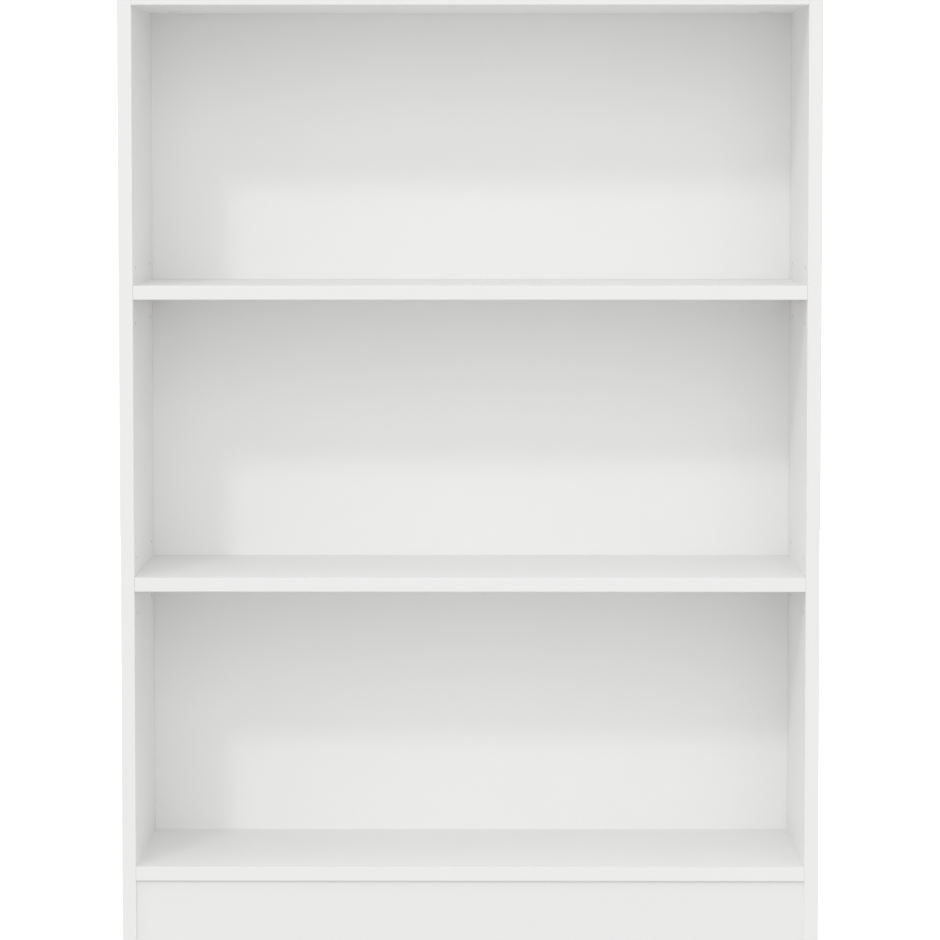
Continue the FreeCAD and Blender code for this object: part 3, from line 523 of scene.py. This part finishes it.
# Turned pieces
TURNED_SIDES = 40
DOME_STEPS = 9
STEP = 0.01 * MM                       # a square shoulder falls by this much
TIP_SHARE = 0.12                       # radius at the tip of a point, of its shank
CREASE = math.radians(32)
WELD = 0.001 * MM
UP = Vector((0.0, 0.0, 1.0))
RIGHT = Vector((1.0, 0.0, 0.0))
REARWARD = Vector((0.0, 1.0, 0.0))


class Recipe(Graph):
    """A Geometry Nodes tree that sets one piece on every seat, with named inputs for its sizes."""

    def __init__(self, name, *sizes):
        super().__init__(bpy.data.node_groups.new(name, "GeometryNodeTree"))
        self.socket("Seats", "Geometry")
        self.keys = [self.socket(size, "Float") for size in sizes]
        self.keys.append(self.socket("Finish", "Material"))
        self.socket("Pieces", "Geometry", "OUTPUT")
        self.seats = self.node("NodeGroupInput", output="Seats")
        self.sizes = [self.seats.output(size) for size in sizes]

    def socket(self, label, kind, side="INPUT"):
        """Add a socket to the tree. Gives the identifier by which a modifier sets it."""
        made = self.tree.interface.new_socket(label, in_out=side, socket_type=f"NodeSocket{kind}")
        return made.identifier

    def pick(self, index, values):
        """The value whose place in the list is the index."""
        settings = {"data_type": "FLOAT", "item_count": len(values)}
        return self.node("GeometryNodeIndexSwitch", settings, [index, *values])

    def turned(self, stations):
        """A solid turned about Z through stations of height and radius, from its outer end inwards."""
        index = self.node("GeometryNodeInputIndex")
        heights, radii = (self.pick(index, column) for column in zip(*stations))
        place = self.node("ShaderNodeCombineXYZ", inputs={"Z": heights})
        points = self.node("GeometryNodePoints", inputs={"Count": len(stations), "Position": place})
        axis = self.node("GeometryNodePointsToCurves", inputs={"Points": points})
        inputs = {"Resolution": TURNED_SIDES, "Radius": 1.0}
        ring = self.node("GeometryNodeCurvePrimitiveCircle", inputs=inputs)
        inputs = {"Curve": axis, "Profile Curve": ring, "Scale": radii, "Fill Caps": True}
        return self.node("GeometryNodeCurveToMesh", inputs=inputs)

    def slotted(self, solid, height, width, length, depth):
        """Cut a slot across the top of a solid."""
        size = self.node("ShaderNodeCombineXYZ", inputs={"X": length, "Y": width, "Z": 2 * depth})
        blade = self.node("GeometryNodeMeshCube", inputs={"Size": size})
        place = self.node("ShaderNodeCombineXYZ", inputs={"Z": height})
        blade = self.node("GeometryNodeTransform", inputs={"Geometry": blade, "Translation": place})
        inputs = {"Mesh 1": solid, "Mesh 2": blade}
        return self.node("GeometryNodeMeshBoolean", {"operation": "DIFFERENCE"}, inputs)

    def set_on_seats(self, solid):
        """Copy a solid to every seat, its Z along the facing and its X along the upward direction."""
        facing, upward = (
            self.node("GeometryNodeInputNamedAttribute", {"data_type": "FLOAT_VECTOR"}, {"Name": name})
            for name in ("facing", "upward")
        )
        settings = {"primary_axis": "Z", "secondary_axis": "X"}
        turn = self.node("FunctionNodeAxesToRotation", settings, [facing, upward])
        inputs = {"Points": self.seats, "Instance": solid, "Rotation": turn}
        pieces = self.node("GeometryNodeInstanceOnPoints", inputs=inputs)
        pieces = self.node("GeometryNodeRealizeInstances", inputs=[pieces])
        inputs = {"Geometry": pieces, "Material": self.seats.output("Finish")}
        self.node("NodeGroupOutput", inputs=[self.node("GeometryNodeSetMaterial", inputs=inputs)])


def dome(height, radius, fullness):
    """Stations of a round crown: an ellipse at a fullness of 1, and squarer at the rim below that."""
    angles = [math.pi / 2 * step / DOME_STEPS for step in range(1, DOME_STEPS + 1)]
    return [(height * math.cos(a) ** fullness, radius * math.sin(a) ** fullness) for a in angles]


def pointed(shank, length, point):
    """Stations of a round shank that ends in a point."""
    return [(0 - STEP, shank), (point - length, shank), (0 - length, shank * TIP_SHARE)]


def solids(node):
    """The lowest and highest corners of each separate solid of a CAD node, in order along X."""
    welded = bmesh.new()
    welded.from_mesh(nodes[node].data)
    bmesh.ops.remove_doubles(welded, verts=welded.verts, dist=WELD)
    loose = set(welded.verts)
    boxes = []
    while loose:
        island = [loose.pop()]
        for vert in island:
            beside = {edge.other_vert(vert) for edge in vert.link_edges} & loose
            loose -= beside
            island += beside
        corners = [vert.co.copy() for vert in island]
        boxes.append(tuple(Vector(map(end, zip(*corners))) for end in (min, max)))
    welded.free()
    return sorted(boxes, key=lambda box: tuple(box[0]))


def middle(box):
    low, high = box
    return (low + high) / 2


def seat(name, recipe, seats, sizes, finish):
    """Run a recipe on seats, each a place, a facing and an upward direction, and keep the plain mesh."""
    places, facings, upwards = zip(*seats)
    mesh = bpy.data.meshes.new(f"{name}_seats")
    mesh.from_pydata(places, [], [])
    for label, directions in (("facing", facings), ("upward", upwards)):
        points = mesh.attributes.new(label, "FLOAT_VECTOR", "POINT").data
        for point, direction in zip(points, directions):
            point.vector = direction
    piece = bpy.data.objects.new(name, mesh)
    bpy.context.scene.collection.objects.link(piece)
    modifier = piece.modifiers.new(name, "NODES")
    modifier.node_group = recipe.tree
    for key, value in zip(recipe.keys, (*sizes, finish)):
        modifier[key] = value
    made = bpy.data.meshes.new_from_object(piece.evaluated_get(bpy.context.evaluated_depsgraph_get()))
    piece.modifiers.clear()
    piece.data = made
    made.shade_smooth()
    made.set_sharp_from_angle(angle=CREASE)
    return piece


def fitted(piece, body, node):
    """Let a piece stand for a CAD node."""
    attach(piece, body)
    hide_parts(node)


NAIL_SHANK = 0.75 * MM
NAIL_POINT = 2.5 * MM
NAIL_FULLNESS = 0.75


def back_nails(finish):
    """Round-headed tacks along the foot of the back."""
    tack = Recipe("tack", "Head Height", "Head Radius", "Shank Radius", "Length", "Point")
    height, head, shank, length, point = tack.sizes
    tack.set_on_seats(tack.turned(dome(height, head, NAIL_FULLNESS) + pointed(shank, length, point)))
    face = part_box("back_panel")[1].y
    boxes = solids("back_panel_nails")
    seats = [((centre.x, face, centre.z), REARWARD, UP) for centre in map(middle, boxes)]
    low, high = boxes[0]
    sizes = (high.y - face, (high.z - low.z) / 2, NAIL_SHANK, face - low.y, NAIL_POINT)
    fitted(seat("back_tacks", tack, seats, sizes, finish), "case", "back_panel_nails")


BRACKET_PLATE = 2 * MM
SCREW_SHANK = 1.7 * MM
SCREW_POINT = 4 * MM
SCREW_FULLNESS = 0.5
SCREW_SLOT = (1.0 * MM, 4.4 * MM, 1.3 * MM)
SCREW_TURNS = (math.radians(20), math.radians(68))


def bracket_screws(finish):
    """Pan-head screws with a cross slot, each left at its own turn."""
    screw = Recipe(
        "pan_head_screw", "Head Height", "Head Radius", "Shank Radius", "Length", "Point",
        "Slot Width", "Slot Length", "Slot Depth",
    )
    height, head, shank, length, point, slot_width, slot_length, slot_depth = screw.sizes
    solid = screw.turned(dome(height, head, SCREW_FULLNESS) + pointed(shank, length, point))
    solid = screw.slotted(solid, height, slot_width, slot_length, slot_depth)
    screw.set_on_seats(screw.slotted(solid, height, slot_length, slot_width, slot_depth))
    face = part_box("wall_bracket_left")[0].z + BRACKET_PLATE
    boxes = solids("bracket_screws")
    slots = [(math.cos(turn), math.sin(turn), 0.0) for turn in SCREW_TURNS]
    seats = [((centre.x, centre.y, face), UP, slot) for centre, slot in zip(map(middle, boxes), slots)]
    low, high = boxes[0]
    sizes = (high.z - face, (high.y - low.y) / 2, SCREW_SHANK, face - low.z, SCREW_POINT, *SCREW_SLOT)
    fitted(seat("pan_head_screws", screw, seats, sizes, finish), "case", "bracket_screws")


CAP_STUB = 2 * MM
CAP_FULLNESS = 0.3


def cam_caps(finish):
    """Thin round covers over the cams in the underside of the top."""
    cap = Recipe("cam_cover", "Height", "Radius", "Stub Radius", "Stub Length")
    height, radius, stub, stub_length = cap.sizes
    stations = dome(height, radius, CAP_FULLNESS) + [(0 - STEP, stub), (0 - stub_length, stub)]
    cap.set_on_seats(cap.turned(stations))
    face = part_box("top_panel")[0].z
    boxes = solids("top_cam_caps")
    seats = [((centre.x, centre.y, face), -UP, RIGHT) for centre in map(middle, boxes)]
    low, high = boxes[0]
    sizes = (face - low.z, (high.y - low.y) / 2, CAP_STUB, high.z - face)
    fitted(seat("cam_covers", cap, seats, sizes, finish), "case", "top_cam_caps")


# Camera: the eye is a little right of the middle and above the upper shelf, far off with a long lens
EYE = Vector((0.026, -4.883, 0.897))
AIM = Vector((0.0, -0.145, 0.550))
LENS = 159.4
SENSOR = 36.0


def photo_camera():
    camera = bpy.data.cameras.new("photo_camera")
    camera.lens = LENS
    camera.sensor_width = SENSOR
    holder = bpy.data.objects.new("photo_camera", camera)
    holder.location = EYE
    holder.rotation_euler = (AIM - EYE).to_track_quat("-Z", "Y").to_euler()
    bpy.context.scene.collection.objects.link(holder)
    bpy.context.scene.camera = holder
    bpy.context.scene.view_settings.view_transform = "Standard"


# Light: weak keys from the upper left, soft boxes, and a surround that is paler above and in front
KEYS = {
    # travel, spread and strength
    "front_key": ((0.33, 1.0, -0.74), math.radians(5.5), 0.32),
    "side_key": ((1.0, 0.35, -0.26), math.radians(3.0), 0.15),
}
SOFTBOX_AIM = Vector((0.0, 0.0, 0.55))
SOFTBOXES = {
    # place, width and height, power in watts
    "front_softbox": ((0.3, -6.0, 2.4), (4.0, 3.0), 48.4),
    "overhead_softbox": ((0.0, -3.5, 5.0), (5.0, 3.0), 11.2),
    "rear_softbox": ((-0.6, 5.0, 1.2), (3.0, 3.0), 130.0),
}
STUDIO_WHITE = (1.0, 1.0, 1.0)
SURROUND_BELOW = 0.51                  # strength straight below and straight above
SURROUND_ABOVE = 1.02
SURROUND_BEHIND = 0.55                 # share of that strength that comes from behind
BEHIND = 0.5                           # how far a direction points to the rear when it counts as behind
BACKDROP = 1.15                        # a little over white, so that it stays clean


def lamp(name, kind, direction):
    light = bpy.data.lights.new(name, kind)
    holder = bpy.data.objects.new(name, light)
    holder.rotation_euler = direction.to_track_quat("-Z", "Y").to_euler()
    bpy.context.scene.collection.objects.link(holder)
    return light, holder


def studio_lamps():
    for name, (travel, spread, strength) in KEYS.items():
        key, _ = lamp(name, "SUN", Vector(travel))
        key.angle = spread
        key.energy = strength
    for name, (place, size, power) in SOFTBOXES.items():
        softbox, holder = lamp(name, "AREA", SOFTBOX_AIM - Vector(place))
        holder.location = place
        holder.visible_camera = False
        softbox.shape = "RECTANGLE"
        softbox.size, softbox.size_y = size
        softbox.energy = power


def studio_surround():
    """A graded white surround that lights the object, with a plain backdrop in what the camera sees of it."""
    world = bpy.data.worlds.new("surround")
    world.use_nodes = True
    bpy.context.scene.world = world
    surround = Graph(world.node_tree)
    surround.tree.nodes.remove(surround.tree.nodes["Background"])
    heading = surround.node("ShaderNodeTexCoord", output="Generated")
    rearward = surround.node("ShaderNodeSeparateXYZ", inputs=[heading], output="Y")
    upward = rearward.output("Z")
    share = surround.fade(rearward, 0.0, BEHIND, 1.0, SURROUND_BEHIND)
    level = surround.fade(upward, -1.0, 1.0, SURROUND_BELOW, SURROUND_ABOVE)
    inputs = {"Color": STUDIO_WHITE, "Strength": share * level}
    glow = surround.node("ShaderNodeBackground", inputs=inputs)
    inputs = {"Color": STUDIO_WHITE, "Strength": BACKDROP}
    backdrop = surround.node("ShaderNodeBackground", inputs=inputs)
    seen = surround.node("ShaderNodeLightPath", output="Is Camera Ray")
    shown = surround.node("ShaderNodeMixShader", inputs=[seen, glow, backdrop])
    surround.tree.links.new(shown.socket, surround.tree.nodes["World Output"].inputs["Surface"])


FLOOR_HALF = 60.0
FLOOR_WHITE = (0.93, 0.93, 0.93)
FLOOR_SHADE = (0.91, 0.91, 0.91)
FLOOR_CLOUD = 0.9
FLOOR_ROUGHNESS = (0.7, 0.1)
FLOOR_GLOW = 0.37


def studio_floor():
    """A pale floor that fades into the white surround. It takes shadows but throws no light back."""
    mesh = bpy.data.meshes.new("studio_floor")
    corners = [(-1, -1), (1, -1), (1, 1), (-1, 1)]
    mesh.from_pydata([(FLOOR_HALF * x, FLOOR_HALF * y, 0.0) for x, y in corners], [], [(0, 1, 2, 3)])
    finish = Finish("studio_floor")
    cloud = finish.noise(even(FLOOR_CLOUD), detail=3.0)
    mesh.materials.append(finish.show(finish.coat(
        Base_Color=finish.mix(cloud, FLOOR_WHITE, FLOOR_SHADE),
        Roughness=rough(FLOOR_ROUGHNESS, cloud),
        Specular_IOR_Level=0.2,
        Emission_Color=STUDIO_WHITE,
        Emission_Strength=FLOOR_GLOW,
    )))
    floor = bpy.data.objects.new("studio_floor", mesh)
    floor.visible_diffuse = False
    floor.visible_shadow = False
    bpy.context.scene.collection.objects.link(floor)


dress_boards()
dress_bands()
dress_fittings()
photo_camera()
studio_lamps()
studio_surround()
studio_floor()
